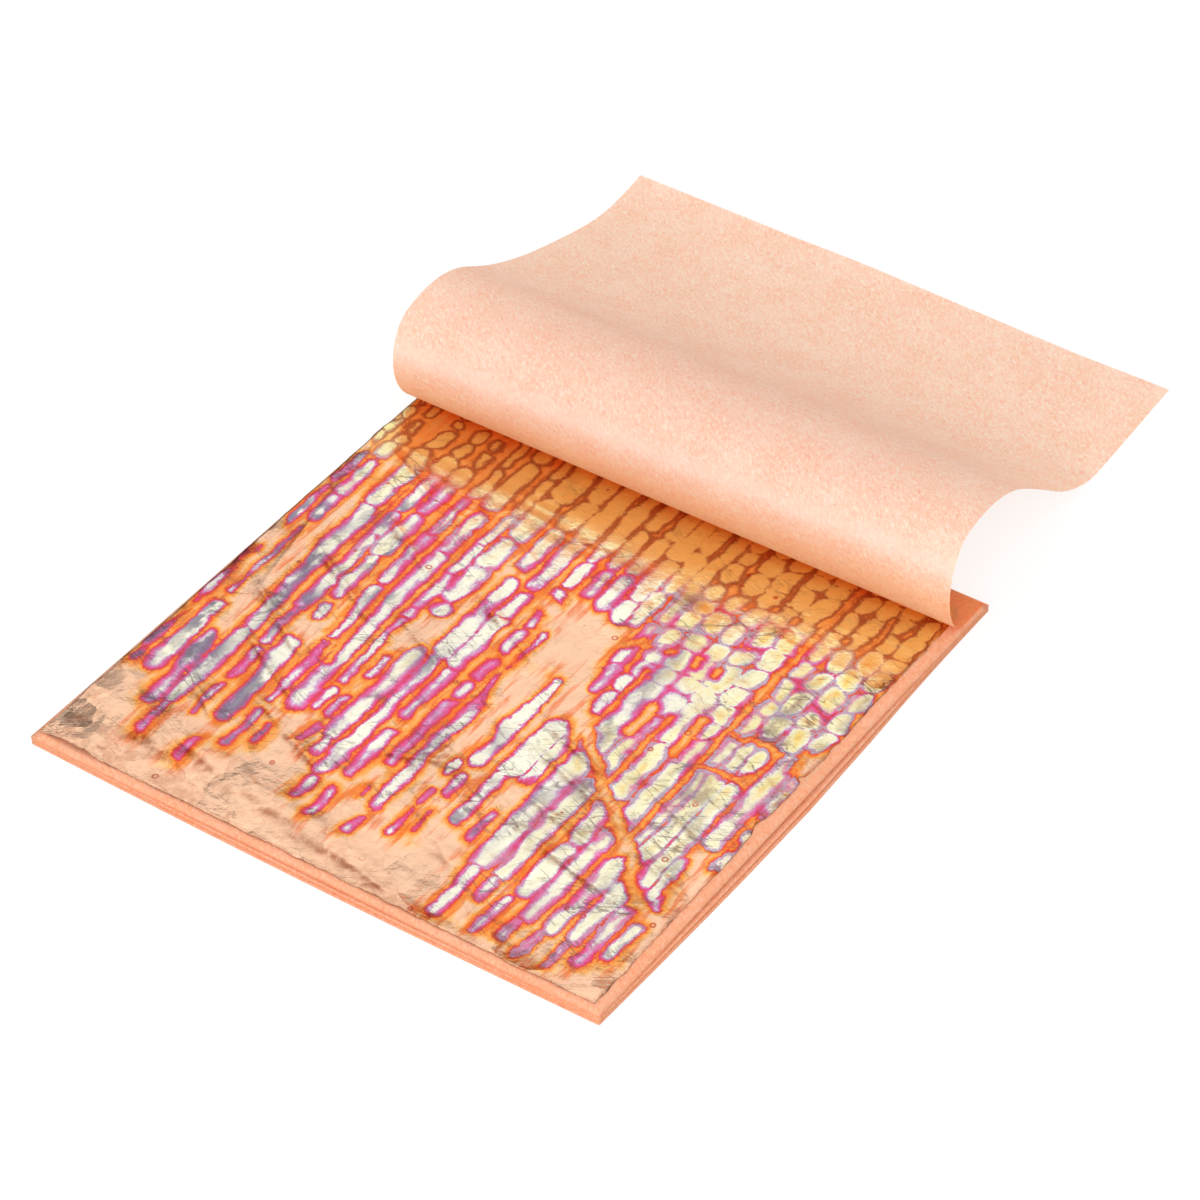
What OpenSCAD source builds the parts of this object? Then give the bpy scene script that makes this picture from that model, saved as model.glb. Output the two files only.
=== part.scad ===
// Booklet of variegated metal leaf for gilding.
// Square leaves of beaten metal lie between tissue pages that are glued together along their
// back edge. The top page is rolled back over the bound edge and shows the first leaf.
// Sizes are in millimetres. The origin is the middle of the booklet's underside. X runs to the
// right, Y from the open front edge to the bound back edge, and Z up.

/* [Metal leaves] */
// Width of a leaf, from side to side
leaf_w = 140; // [80:1:160]
// Length of a leaf, from front to back
leaf_l = 140; // [80:1:160]
// Room that one crinkled leaf takes up between two pages
leaf_t = 0.02; // [0.01:0.01:0.05]
// Number of leaves, each lying on a page of its own
leaf_count = 25; // [5:1:25]

/* [Tissue pages] */
// Thickness of a page
tissue_t = 0.05; // [0.03:0.01:0.1]
// Bare strip of page on each side of a leaf
side_margin = 1.5; // [0.5:0.5:10]
// Bare strip of page in front of a leaf
front_margin = 2; // [0.5:0.5:10]
// Bare strip of page between a leaf and the bound edge
bound_margin = 2; // [0.5:0.5:10]

/* [Binding] */
// Thickness of the glue film behind the pages
glue_t = 0.3; // [0.1:0.1:1]

/* [Rolled page] */
// How much shorter the rolled page is than the others
top_trim = 4; // [0:0.5:8]
// How far the rolled page lies to the left of the others
top_shift = 1; // [0:0.5:3]
// Flat strip next to the bound edge
root_l = 8; // [5:0.5:15]
// Length of the tight bend that leaves the leaf
low_bend_l = 5; // [4:0.5:10]
// Turn of the tight bend that leaves the leaf, in degrees
low_bend_turn = 52; // [35:1:60]
// Length of the roll's front
front_l = 20; // [14:0.5:26]
// Turn of the roll's front, in degrees
front_turn = 66; // [50:1:75]
// Length of the tight bend at the roll's top
high_bend_l = 6; // [4:0.5:12]
// Turn of the tight bend at the roll's top, in degrees
high_bend_turn = 48; // [35:1:55]
// Length of the roll's crest
crest_l = 25; // [18:0.5:32]
// Turn of the roll's crest, in degrees
crest_turn = 48; // [35:1:55]
// Length of the slope behind the crest
slope_l = 20; // [14:0.5:26]
// Turn of the slope behind the crest, in degrees
slope_turn = -4; // [-8:1:0]
// Length of the dip, where the page levels out again
dip_l = 28; // [20:0.5:34]
// Turn of the dip, in degrees
dip_turn = -22; // [-35:1:-15]
// Turn of the free end, in degrees
end_turn = -13; // [-25:1:-5]

/* [Zones of the rolled page] */
// Part of the tight bend that stays with the flat strip
root_rise = 3; // [2:0.5:4]
// Length of the first fold zone
fold_1_l = 8; // [5:0.5:10]
// Length of the second fold zone
fold_2_l = 9; // [6:0.5:12]
// Length of the third fold zone
fold_3_l = 8; // [6:0.5:12]
// Length of the fourth fold zone
fold_4_l = 8; // [6:0.5:12]
// Length of the fifth fold zone
fold_5_l = 12; // [8:0.5:16]
// Length of the zone behind the crest
back_slope_l = 42; // [30:1:46]
// Spare gap beside what two neighbouring zones need to turn
zone_clearance = 0.01; // [0.01:0.01:0.1]

/* [Hidden] */
page_w = leaf_w + 2 * side_margin;
page_l = leaf_l + front_margin + bound_margin;
pitch = tissue_t + leaf_t;
stack_h = leaf_count * pitch;
bound_y = page_l / 2;

// The rolled page as a row of stretches, each a length and the turn along it
top_l = page_l - top_trim;
shaped_l = root_l + low_bend_l + front_l + high_bend_l + crest_l + slope_l + dip_l;
stretches = [
    [root_l, 0],
    [low_bend_l, low_bend_turn],
    [front_l, front_turn],
    [high_bend_l, high_bend_turn],
    [crest_l, crest_turn],
    [slope_l, slope_turn],
    [dip_l, dip_turn],
    [top_l - shaped_l, end_turn]
];

// Where each zone ends, measured along the page from the bound edge
zone_names = ["root", "fold_1", "fold_2", "fold_3", "fold_4", "fold_5", "slope", "free_end"];
root_end = root_l + root_rise;
fold_1_end = root_end + fold_1_l;
fold_2_end = fold_1_end + fold_2_l;
fold_3_end = fold_2_end + fold_3_l;
fold_4_end = fold_3_end + fold_4_l;
fold_5_end = fold_4_end + fold_5_l;
slope_end = fold_5_end + back_slope_l;
zone_ends = [
    0,
    root_end,
    fold_1_end,
    fold_2_end,
    fold_3_end,
    fold_4_end,
    fold_5_end,
    slope_end,
    top_l
];

// Neighbouring zones turn on each other by less than this, which sets the gap between them
widest_turn = 55;
seam_gap = tissue_t * tan(widest_turn / 2) + zone_clearance;
// Longest step between two points of a zone's outline
outline_step = 1.6;

tissue_colour = [0.95, 0.72, 0.57];
leaf_colour = [0.86, 0.58, 0.42];
glue_colour = [0.93, 0.87, 0.78];

function two_digits(n) = str(n < 10 ? "0" : "", n);
function leaf_name(n) = str("leaf_", two_digits(n));
function tissue_name(n) = str("tissue_", two_digits(n));
function zone_name(k) = str("tissue_01_", zone_names[k]);

// Next place along an arc of length l and turn t, from a place [y, z, heading].
// A heading of 0 points to the front of the booklet, and one of 90 points up.
function arc_step(place, l, t) =
    t == 0
    ? [place[0] - l * cos(place[2]), place[1] + l * sin(place[2]), place[2]]
    : let (r = l / (t * PI / 180), a = place[2], b = a + t)
      [place[0] - r * (sin(b) - sin(a)), place[1] + r * (cos(a) - cos(b)), b];

// Place on the middle of the rolled page at distance s along it
function roll_place(s, k = 0, place = [0, 0, 0]) =
    s <= stretches[k][0] || k == len(stretches) - 1
    ? arc_step(place, s, stretches[k][1] * s / stretches[k][0])
    : roll_place(s - stretches[k][0], k + 1, arc_step(place, stretches[k][0], stretches[k][1]));

// Point at distance s along the page and a height h off its middle, as [y, z]
function roll_point(s, h) =
    let (p = roll_place(s))
    [p[0] + h * sin(p[2]), p[1] + h * cos(p[2])];

// One tissue page that lies flat, counted from the top
module tissue_page(n) {
    color(tissue_colour)
        translate([-page_w / 2, -page_l / 2, (leaf_count + 1 - n) * pitch])
            cube([page_w, page_l, tissue_t]);
}

// One metal leaf, counted from the top, on the page below it
module metal_leaf(n) {
    color(leaf_colour)
        translate([-leaf_w / 2, -page_l / 2 + front_margin, (leaf_count - n) * pitch + tissue_t])
            cube([leaf_w, leaf_l, leaf_t]);
}

// Film of padding glue that holds every page by its back end
module binding_glue() {
    color(glue_colour)
        translate([-page_w / 2, bound_y, 0])
            cube([page_w, glue_t, stack_h + tissue_t]);
}

// One zone of the rolled page, a curved strip that runs the page's whole width
module rolled_zone(k) {
    low = zone_ends[k] + (k == 0 ? 0 : seam_gap / 2);
    high = zone_ends[k + 1] - (k == len(zone_names) - 1 ? 0 : seam_gap / 2);
    steps = ceil((high - low) / outline_step);
    places = [for (i = [0:steps]) low + (high - low) * i / steps];
    under = [for (s = places) roll_point(s, -tissue_t / 2)];
    over = [for (i = [steps:-1:0]) roll_point(places[i], tissue_t / 2)];
    color(tissue_colour)
        translate([-page_w / 2 - top_shift, bound_y, stack_h + tissue_t / 2])
            rotate([90, 0, 90])
                linear_extrude(height = page_w)
                    polygon(concat(under, over));
}

binding_glue();
for (n = [2:leaf_count + 1])
    tissue_page(n);
for (n = [1:leaf_count])
    metal_leaf(n);
for (k = [0:len(zone_names) - 1])
    rolled_zone(k);
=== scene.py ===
# Looks of the gold leaf booklet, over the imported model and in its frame
# Lengths are in millimetres here and become metres where a mesh is made
import math
import bpy
import numpy as np
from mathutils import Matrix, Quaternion, Vector


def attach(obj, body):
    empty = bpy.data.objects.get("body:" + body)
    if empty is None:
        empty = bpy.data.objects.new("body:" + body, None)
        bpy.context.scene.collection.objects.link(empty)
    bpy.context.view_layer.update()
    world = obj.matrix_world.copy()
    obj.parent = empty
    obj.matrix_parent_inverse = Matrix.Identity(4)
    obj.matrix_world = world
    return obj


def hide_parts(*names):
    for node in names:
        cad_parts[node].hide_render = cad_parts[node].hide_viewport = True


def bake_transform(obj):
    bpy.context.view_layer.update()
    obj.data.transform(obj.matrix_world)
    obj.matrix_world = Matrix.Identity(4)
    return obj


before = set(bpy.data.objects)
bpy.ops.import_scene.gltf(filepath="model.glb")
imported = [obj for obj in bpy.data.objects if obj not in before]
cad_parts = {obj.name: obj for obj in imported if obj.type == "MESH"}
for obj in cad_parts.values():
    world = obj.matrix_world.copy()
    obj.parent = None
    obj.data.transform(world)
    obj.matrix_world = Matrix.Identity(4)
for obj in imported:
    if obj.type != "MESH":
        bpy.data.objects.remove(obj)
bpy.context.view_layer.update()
MM = 0.001

# Camera, at the photograph's viewing angle
CAMERA_AT = Vector((427.99, -558.69, 643.21)) * MM
CAMERA_TO = Vector((1.895, 28.05, 1.75)) * MM
CAMERA_LENS = 136.5
CAMERA_SENSOR = 36.0
CAMERA_ROLL = math.radians(-1.63)
camera_data = bpy.data.cameras.new("Camera")
camera_data.lens = CAMERA_LENS
camera_data.sensor_width = CAMERA_SENSOR
camera_data.sensor_fit = "HORIZONTAL"
camera_data.clip_start = 0.02
camera_data.clip_end = 50.0
camera = bpy.data.objects.new("Camera", camera_data)
bpy.context.scene.collection.objects.link(camera)
camera.location = CAMERA_AT
camera.rotation_mode = "QUATERNION"
level_view = (CAMERA_TO - CAMERA_AT).to_track_quat("-Z", "Y")
camera.rotation_quaternion = level_view @ Quaternion((0, 0, 1), CAMERA_ROLL)
bpy.context.scene.camera = camera

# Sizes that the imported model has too
PAGE_W, PAGE_L, TISSUE_T = 143.0, 144.0, 0.05
LEAF_W, LEAF_L, LEAF_T = 140.0, 140.0, 0.02
LEAF_COUNT = 25
PITCH = TISSUE_T + LEAF_T
STACK_H = LEAF_COUNT * PITCH
BOUND_Y = PAGE_L / 2
TOP_SHIFT = 1.0
# The exposed leaf lies left of the middle, and askew by this much over its length
LEAF_SHIFT, LEAF_SKEW = -1.3, 0.8
# The rolled page, from the bound edge on: length of a stretch, its turn in degrees,
# and what its left and right edges turn more than that
STRETCHES = (
    (8, 0, 0, 0), (5, 52, -5.5, 10), (20, 66, 4.5, -8), (6, 48, -2, 2),
    (25, 48, 2, -2), (20, -4, -7, 7), (28, -22, 16, -16), (28, -13, -13, 13),
)
ROLL_L = float(sum(s[0] for s in STRETCHES))


def srgb(r, g, b):
    """A colour written as 0 to 255, as the shader takes it."""
    out = []
    for v in (r, g, b):
        v /= 255
        out.append(v / 12.92 if v <= 0.04045 else ((v + 0.055) / 1.055) ** 2.4)
    return (*out, 1.0)


def smooth(a, b, v):
    """v from a to b as 0 to 1, smoothly."""
    t = np.clip((v - a) / (b - a), 0, 1)
    return t * t * (3 - 2 * t)


def noise2(x, y, cell, seed):
    """Smooth noise from -1 to 1, with one random value at each cell corner."""
    size = 97
    table = np.random.default_rng(seed).uniform(-1, 1, (size, size))
    u, v = x / cell + 41.3, y / cell + 37.7
    i, j = np.floor(u).astype(int), np.floor(v).astype(int)
    fu, fv = u - i, v - j
    fu, fv = fu * fu * (3 - 2 * fu), fv * fv * (3 - 2 * fv)
    a, b = table[i % size, j % size], table[(i + 1) % size, j % size]
    c, d = table[i % size, (j + 1) % size], table[(i + 1) % size, (j + 1) % size]
    return (a * (1 - fu) + b * fu) * (1 - fv) + (c * (1 - fu) + d * fu) * fv


def shell(name, under, over, material, marks=None, normals=None):
    """A closed thin sheet between two grids of points, in millimetres.
    marks are its point attributes."""
    rows, cols = under.shape[:2]
    half = rows * cols
    points = np.concatenate([under.reshape(-1, 3), over.reshape(-1, 3)]) * MM
    k = np.arange(half).reshape(rows, cols)
    a, b, c, d = k[:-1, :-1], k[:-1, 1:], k[1:, 1:], k[1:, :-1]
    around = np.cross(under[0, 1] - under[0, 0], under[1, 0] - under[0, 0]) @ (over - under)[0, 0]
    order = [0, 1, 2, 3] if around > 0 else [0, 3, 2, 1]
    top = np.stack([a, b, c, d], -1).reshape(-1, 4)[:, order] + half
    low = np.stack([a, d, c, b], -1).reshape(-1, 4)[:, order]
    rim = np.concatenate([k[0, :], k[1:, -1], k[-1, -2::-1], k[-2:0:-1, 0]])
    if around < 0:
        rim = rim[::-1]
    after = np.roll(rim, -1)
    side = np.stack([rim, after, after + half, rim + half], -1)
    faces = np.concatenate([top, low, side])
    mesh = bpy.data.meshes.new(name)
    mesh.vertices.add(len(points))
    mesh.vertices.foreach_set("co", points.astype(np.float32).ravel())
    mesh.loops.add(faces.size)
    mesh.loops.foreach_set("vertex_index", faces.astype(np.int32).ravel())
    mesh.polygons.add(len(faces))
    mesh.polygons.foreach_set("loop_start", np.arange(0, faces.size, 4, dtype=np.int32))
    mesh.polygons.foreach_set("loop_total", np.full(len(faces), 4, dtype=np.int32))
    mesh.update(calc_edges=True)
    mesh.validate()
    smooth_faces = np.ones(len(mesh.polygons), bool)
    smooth_faces[len(top) + len(low):] = False
    mesh.polygons.foreach_set("use_smooth", smooth_faces)
    for key, values in (marks or {}).items():
        values = np.asarray(values, np.float32)
        kind = "FLOAT" if values.ndim == 2 else "FLOAT_VECTOR"
        field = mesh.attributes.new(key, kind, "POINT")
        both = np.concatenate([values.reshape(half, -1)] * 2)
        field.data.foreach_set("value" if kind == "FLOAT" else "vector", both.ravel())
    if normals is not None:
        n = normals.reshape(-1, 3)
        loops = np.concatenate([n[top.ravel() - half], -n[low.ravel()]])
        flat = np.zeros((side.size, 3))
        mesh.normals_split_custom_set(np.concatenate([loops, flat]).tolist())
    mesh.materials.append(material)
    piece = bpy.data.objects.new(name, mesh)
    bpy.context.scene.collection.objects.link(piece)
    return piece


class Nodes:
    """Short way to build a material's or a world's nodes."""

    def __init__(self, owner):
        owner.use_nodes = True
        self.tree = owner.node_tree
        self.tree.nodes.clear()

    def add(self, kind, inputs=None, **settings):
        made = self.tree.nodes.new(kind)
        for key, value in settings.items():
            setattr(made, key, value)
        for key, value in (inputs or {}).items():
            if isinstance(value, bpy.types.NodeSocket):
                self.tree.links.new(value, made.inputs[key])
            else:
                made.inputs[key].default_value = value
        return made

    def math(self, how, a, b=0.0, clamp=False):
        return self.add("ShaderNodeMath", {0: a, 1: b}, operation=how, use_clamp=clamp).outputs[0]

    def times(self, first, *others):
        """The product of two or more values."""
        for other in others:
            first = self.math("MULTIPLY", first, other)
        return first

    def flip(self, value):
        """1 less a value."""
        return self.math("SUBTRACT", 1.0, value)

    def mix(self, factor, a, b, blend="MIX"):
        inputs = {0: factor, 6: a, 7: b}
        return self.add("ShaderNodeMix", inputs, data_type="RGBA", blend_type=blend).outputs[2]

    def pick(self, factor, a, b):
        """The value a or b, as factor goes from 0 to 1."""
        return self.add("ShaderNodeMix", {0: factor, 2: a, 3: b}, data_type="FLOAT").outputs[0]

    def split(self, vector):
        """The three parts of a vector or colour."""
        return self.add("ShaderNodeSeparateXYZ", {0: vector}).outputs

    def vector(self, how, a, b, c=None):
        """The outputs of vector maths on two or three inputs."""
        inputs = {0: a, 1: b} if c is None else {0: a, 1: b, 2: c}
        return self.add("ShaderNodeVectorMath", inputs, operation=how).outputs

    def mark(self, name, output="Fac"):
        """A point attribute that the meshes carry."""
        return self.add("ShaderNodeAttribute", attribute_name=name).outputs[output]

    def noise(self, at, scale, detail=2.0, rough=0.5, distort=0.0):
        inputs = {"Vector": at, "Scale": scale, "Detail": detail}
        inputs.update({"Roughness": rough, "Distortion": distort})
        return self.add("ShaderNodeTexNoise", inputs).outputs[0]

    def steps(self, value, low, high):
        """value from low to high as 0 to 1, smoothly."""
        inputs = {0: value, 1: low, 2: high}
        return self.add("ShaderNodeMapRange", inputs, interpolation_type="SMOOTHSTEP").outputs[0]

    def ramp(self, value, stops):
        made = self.add("ShaderNodeValToRGB", {0: value})
        row = made.color_ramp.elements
        row[0].position, row[0].color = stops[0]
        row[1].position, row[1].color = stops[-1]
        for place, colour in stops[1:-1]:
            row.new(place).color = colour
        return made.outputs[0]

    def stretched(self, at, turn, sizes):
        """Coordinates turned first and then scaled, to draw a pattern out along the turned axes."""
        inputs = {0: at, 2: (0, 0, turn), 3: tuple(1 / size for size in sizes)}
        return self.add("ShaderNodeMapping", inputs, vector_type="TEXTURE").outputs[0]


# Along the rolled page, in metres from the bound edge: where its painted light begins and ends:
# painted shade on the root strip inside the roll, warm light from the leaf painted on the lower
# band, and a painted highlight line above that band
ROOT_SHADE_BAND, PAINTED_BOUNCE_BAND = (0.008, 0.014), (0.018, 0.030)
PAINTED_HIGHLIGHT_RISE, PAINTED_HIGHLIGHT_FALL = (0.026, 0.030), (0.030, 0.035)
ROOT_PAINTED_SHADE, PAINTED_BOUNCE_TINT = srgb(255, 220, 182), srgb(255, 236, 208)
# The first colour here is painted shade on the pages' cut edges; the second colours the light let
# through the paper
EDGE_PAINTED_SHADE, GLOW_TINT = srgb(244, 226, 212), srgb(255, 222, 190)


def tissue_material(name, base, pale, deep, field, through):
    """Fibrous tissue paper, from its middle, pale and deep colours. field is the point attribute
    that holds its place on the flat sheet, or None for a page that lies flat.
    through is the share of the light that the paper lets through."""
    made = bpy.data.materials.new(name)
    n = Nodes(made)
    at = n.mark(field, "Vector") if field else n.add("ShaderNodeTexCoord").outputs["Object"]
    cloud = n.noise(at, 90.0, 4.0, 0.6)
    speck = n.noise(n.stretched(at, 0.5, (1.0, 0.45, 1.0)), 1750.0, 4.0, 0.7, 0.6)
    cross = n.noise(n.stretched(at, -0.7, (0.45, 1.0, 1.0)), 1500.0, 4.0, 0.7, 0.6)
    strand = n.noise(n.stretched(at, 1.2, (1.0, 0.2, 1.0)), 2300.0, 2.0, 0.5, 1.2)
    colour = n.mix(n.steps(cloud, 0.35, 0.7), base, n.mix(0.35, base, pale))
    colour = n.mix(n.times(n.steps(speck, 0.47, 0.64), 0.9), colour, pale)
    colour = n.mix(n.times(n.steps(cross, 0.5, 0.68), 0.55), colour, deep)
    colour = n.mix(n.times(n.steps(strand, 0.54, 0.7), 0.6), colour, pale)
    if field:
        way = n.split(at)[1]
        # Painted reflected light: the roll's lower band, which faces the leaf, is coloured warmer
        # for the leaf's light thrown onto it
        painted_bounce = n.flip(n.steps(way, *PAINTED_BOUNCE_BAND))
        colour = n.mix(n.times(painted_bounce, 0.9), colour, PAINTED_BOUNCE_TINT, "MULTIPLY")
        # Painted highlight: a paler line where the roll turns under, above the warm band
        painted_highlight = n.times(n.steps(way, *PAINTED_HIGHLIGHT_RISE), n.flip(n.steps(way, *PAINTED_HIGHLIGHT_FALL)))
        colour = n.mix(n.times(painted_highlight, 0.45), colour, pale)
        # Painted shade: the root strip inside the roll is coloured darker and more orange, for the
        # shade and warm inter-reflection there
        colour = n.mix(n.flip(n.steps(way, *ROOT_SHADE_BAND)), colour, ROOT_PAINTED_SHADE, "MULTIPLY")
    else:
        # Painted shade: the pages' upright cut edges are coloured darker and warmer, for the shade
        # between the stacked pages
        upright = n.split(n.add("ShaderNodeNewGeometry").outputs["Normal"])[2]
        cut_edge = n.flip(n.steps(n.math("ABSOLUTE", upright), 0.3, 0.8))
        colour = n.mix(cut_edge, colour, EDGE_PAINTED_SHADE, "MULTIPLY")
    height = n.math("ADD", n.times(cloud, 0.6), n.math("ADD", speck, cross))
    bump = n.add("ShaderNodeBump", {"Height": height, "Strength": 0.25, "Distance": 0.00006})
    face = n.add(
        "ShaderNodeBsdfPrincipled",
        {
            "Base Color": colour, "Roughness": 0.72, "Specular IOR Level": 0.25,
            "Normal": bump.outputs[0],
        },
    )
    glow = n.add("ShaderNodeBsdfTranslucent", {"Color": n.mix(0.35, colour, GLOW_TINT, "MULTIPLY")})
    both = n.add("ShaderNodeMixShader", {0: through, 1: face.outputs[0], 2: glow.outputs[0]})
    n.add("ShaderNodeOutputMaterial", {0: both.outputs[0]})
    return made


# The heat colours reach this deep inside and outside a cool spot's edge, in millimetres
HEAT_DEPTH = 3.0
# The zone under the roll, where the roll's reflection is painted, begins between these places, in
# metres along y
ROLL_REFLECTION_ZONE = (0.037, 0.049)
# Cells of the crumple facets, in metres
WIDE_FACET, SMALL_FACET = 0.013, 0.0045
# Colours of the metal leaf besides those that heat gives it from a spot's edge on
LAVENDER, YELLOW_CENTRE = srgb(194, 172, 188), srgb(248, 236, 166)
HOT_CENTRE, COOL_GREY = srgb(252, 206, 96), srgb(124, 116, 138)
# The third colour here is painted shade in the creases of fine wrinkles
STREAK, BUBBLE, PAINTED_CREASE_SHADE = srgb(240, 112, 44), srgb(196, 70, 48), srgb(104, 84, 92)
# The second colour here is painted shade on folds, facets and edges
GRAIN, PAINTED_FOLD_SHADE = srgb(170, 130, 116), srgb(172, 138, 126)
# Painted reflected light: colours that lighten the leaf under the roll and brown its channels there
PAINTED_REFLECTION_TINT, PAINTED_REFLECTION_SPOT, PAINTED_REFLECTION_OUTLINE = srgb(255, 214, 136), srgb(255, 240, 166), srgb(164, 82, 60)


def facets(n, at, cell, shift):
    """Flat facets with random tilts, one per cell of a Voronoi pattern: their height in metres,
    and how far each faces the front."""
    placed = n.vector("ADD", at, (shift, shift, 0))[0]
    found = n.add("ShaderNodeTexVoronoi", {"Vector": placed, "Scale": 1 / cell}, feature="F1")
    local = n.vector("SUBTRACT", placed, found.outputs["Position"])[0]
    lean = n.vector("SUBTRACT", found.outputs["Color"], (0.5, 0.5, 0.5))[0]
    rise = n.vector("DOT_PRODUCT", local, lean)["Value"]
    front = n.vector("DOT_PRODUCT", lean, (-0.35, 0.9, 0.0))["Value"]
    return rise, front


def leaf_material(name, stops):
    """Heat-coloured metal leaf. Its point attributes: heat_mark holds how far a point is inside
    a cool spot in millimetres, its yellow and its grey, crinkle how crumpled the leaf is,
    and fold_shade where shade is painted on its folds and edges."""
    made = bpy.data.materials.new(name)
    n = Nodes(made)
    at = n.add("ShaderNodeTexCoord").outputs["Object"]
    crinkle, shade = n.mark("crinkle"), n.mark("fold_shade")
    inside, yellow, grey = n.split(n.mark("heat_mark", "Vector"))

    # The spots' edges are grained, and spots and halos are wide or narrow from place to place
    slim = n.stretched(at, 0.0, (1.0, 0.6, 1.0))
    coarse_edge = n.math("SUBTRACT", n.noise(slim, 520.0, 4.0, 0.6), 0.5)
    fine_edge = n.math("SUBTRACT", n.noise(slim, 2400.0, 3.0, 0.7), 0.5)
    inside = n.math("ADD", inside, n.times(coarse_edge, 1.5))
    inside = n.math("ADD", inside, n.times(fine_edge, 1.5))
    patch = n.noise(slim, 240.0, 3.0, 0.6)
    spread = n.math("SUBTRACT", n.times(n.noise(slim, 150.0, 2.0, 0.5), 6.5), 2.1)
    cool_side = n.times(n.math("MAXIMUM", inside, 0.0), n.math("MAXIMUM", spread, 0.6))
    halo = n.math("SUBTRACT", n.times(n.noise(slim, 110.0, 3.0, 0.6), 4.0), 0.9)
    warm_side = n.times(n.math("MINIMUM", inside, 0.0), n.math("MAXIMUM", halo, 0.55))
    depth = n.math("ADD", n.math("ADD", cool_side, warm_side), HEAT_DEPTH)
    colour = n.ramp(n.math("DIVIDE", depth, 2 * HEAT_DEPTH, clamp=True), stops)

    # Lavender rims, yellow and hot centres, cool grey, and streaks that run out of the spots' ends
    rim = n.times(n.steps(inside, -0.05, 0.12), n.flip(n.steps(inside, 0.55, 1.0)))
    lavender = n.times(n.steps(yellow, 0.0, 0.5), n.steps(n.noise(at, 170.0, 2.0, 0.5), 0.38, 0.56))
    colour = n.mix(n.times(rim, lavender), colour, LAVENDER)
    colour = n.mix(n.times(n.steps(inside, 0.6, 1.7), yellow), colour, YELLOW_CENTRE)
    hot_centre = n.times(n.steps(inside, 1.5, 2.6), n.steps(patch, 0.42, 0.62))
    colour = n.mix(n.times(hot_centre, yellow), colour, HOT_CENTRE)
    cool = n.times(n.steps(inside, 0.0, 0.6), n.times(grey, n.steps(patch, 0.4, 0.56)))
    colour = n.mix(cool, colour, COOL_GREY)
    streak = n.noise(n.stretched(at, 0.0, (1.0, 0.15, 1.0)), 480.0, 3.0, 0.6)
    reach = n.times(n.steps(inside, -6.5, -1.0), n.flip(n.steps(inside, -0.7, -0.2)))
    colour = n.mix(n.times(reach, n.times(n.steps(streak, 0.48, 0.64), 0.8)), colour, STREAK)

    # Painted reflected light: under the roll the leaf is coloured lighter, with yellow spots in
    # brown outlines, for how the roll's reflection looks there
    back = n.steps(n.split(at)[1], *ROLL_REFLECTION_ZONE)
    colour = n.mix(n.times(back, 0.65), colour, PAINTED_REFLECTION_TINT)
    colour = n.mix(n.times(n.times(back, n.steps(inside, -0.5, 0.8)), 0.9), colour, PAINTED_REFLECTION_SPOT)
    outline = n.times(n.steps(inside, -0.9, -0.2), n.flip(n.steps(inside, 0.1, 0.8)))
    colour = n.mix(n.times(n.times(back, outline), 0.75), colour, PAINTED_REFLECTION_OUTLINE)

    # Bubbles: small rings, in some places only
    placed = n.add("ShaderNodeTexVoronoi", {"Vector": at, "Scale": 240.0}, feature="F1")
    picked, size, _ = n.split(placed.outputs["Color"])
    radius = n.math("ADD", n.times(size, 0.12), 0.05)
    ring = n.math("ABSOLUTE", n.math("SUBTRACT", placed.outputs["Distance"], radius))
    ring = n.times(n.flip(n.steps(ring, 0.025, 0.06)), n.math("GREATER_THAN", picked, 0.7))
    where = n.steps(n.noise(at, 45.0, 1.0, 0.5), 0.47, 0.55)
    colour = n.mix(n.times(ring, n.times(where, 0.75)), colour, BUBBLE)
    fine = n.noise(at, 700.0, 5.0, 0.7)
    colour = n.mix(n.times(n.steps(fine, 0.45, 0.75), 0.15), colour, GRAIN)

    # Fine wrinkles: painted shade in their creases, as two webs of lines that are drawn out in
    # different directions
    lines = 0.0
    for turn, scale, thin, drawn in ((0.5, 260.0, 0.02, 0.14), (-0.35, 380.0, 0.026, 0.16)):
        web = n.noise(n.stretched(at, turn, (drawn, 1.0, 1.0)), scale, 3.0, 0.5, 0.4)
        off = n.math("ABSOLUTE", n.math("SUBTRACT", web, 0.5))
        lines = n.math("MAXIMUM", lines, n.flip(n.steps(off, 0.0, thin)))
    lines = n.times(lines, n.steps(n.noise(at, 150.0, 2.0, 0.5), 0.4, 0.62))
    crease_shade = n.times(lines, n.steps(inside, -3.0, 0.8))
    crease_shade = n.times(crease_shade, n.math("MINIMUM", n.times(crinkle, 1.5), 0.7))
    colour = n.mix(crease_shade, colour, PAINTED_CREASE_SHADE)

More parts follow.
